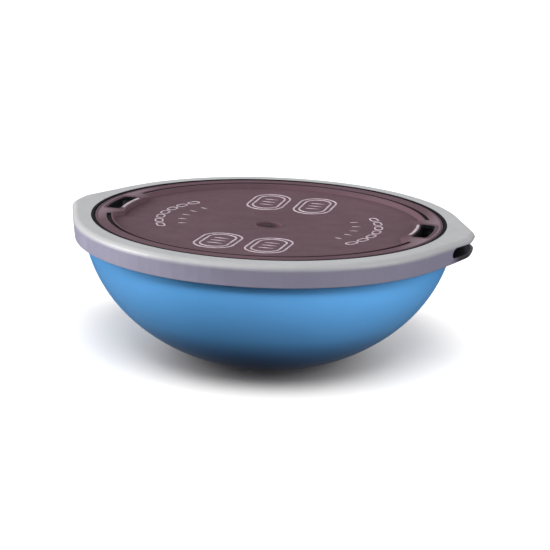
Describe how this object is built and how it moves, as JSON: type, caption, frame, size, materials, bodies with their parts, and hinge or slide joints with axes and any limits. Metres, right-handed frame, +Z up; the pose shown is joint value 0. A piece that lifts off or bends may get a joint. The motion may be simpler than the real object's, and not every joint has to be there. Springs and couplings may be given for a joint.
{
  "type": "balance dome trainer",
  "caption": "Half-ball balance trainer lying dome down: an inflated dome clamped under a rigid round platform with a dished deck, hand-hold ears and a plugged air valve.",
  "frame": {"origin": "on the floor under the middle of the dome's flat contact patch", "axes": "+Z up out of the platform's deck, +X through the middle of a hand-hold ear, +Y along the platform's plain edge"},
  "size_m": [0.6696, 0.635, 0.238],
  "materials": {
    "dome_rubber": "satin",
    "rim_plastic": "satin",
    "deck_plastic": "matte, fine grain",
    "black_plastic": "satin",
    "black_rubber": "matte",
    "plug_rubber": "matte",
    "screw_steel": "zinc plated",
    "insert_brass": "turned"
  },
  "bodies": {
    "dome": {"dome": "dome_rubber"},
    "platform": {"rim": "rim_plastic", "deck_flange": "deck_plastic", "deck_floor": "deck_plastic", "deck_web": "deck_plastic", "deck_gasket": "black_rubber", "sealing_plate": "black_plastic", "retaining_ring": "rim_plastic", "grip_liner_left": "black_plastic", "grip_liner_right": "black_plastic", "ring_screws": "screw_steel", "ring_inserts": "insert_brass", "plate_screws": "screw_steel", "plate_washers": "black_rubber", "valve_body": "black_plastic", "valve_washer": "black_rubber", "valve_nut": "black_plastic"},
    "plug": {"valve_plug": "plug_rubber", "plug_seal": "black_rubber"}
  },
  "joints": [
    {"name": "dome_squash", "type": "slide", "parent": "dome", "child": "platform", "axis": [0, 0, 1], "range_m": [-0.05, 0], "stiffness_N_per_m": 12000, "springref_m": 0.01, "deforming": ["dome"]},
    {"name": "plug_pull", "type": "slide", "parent": "platform", "child": "plug", "axis": [0, 0, 1], "range_m": [0, 0.045]}
  ]
}
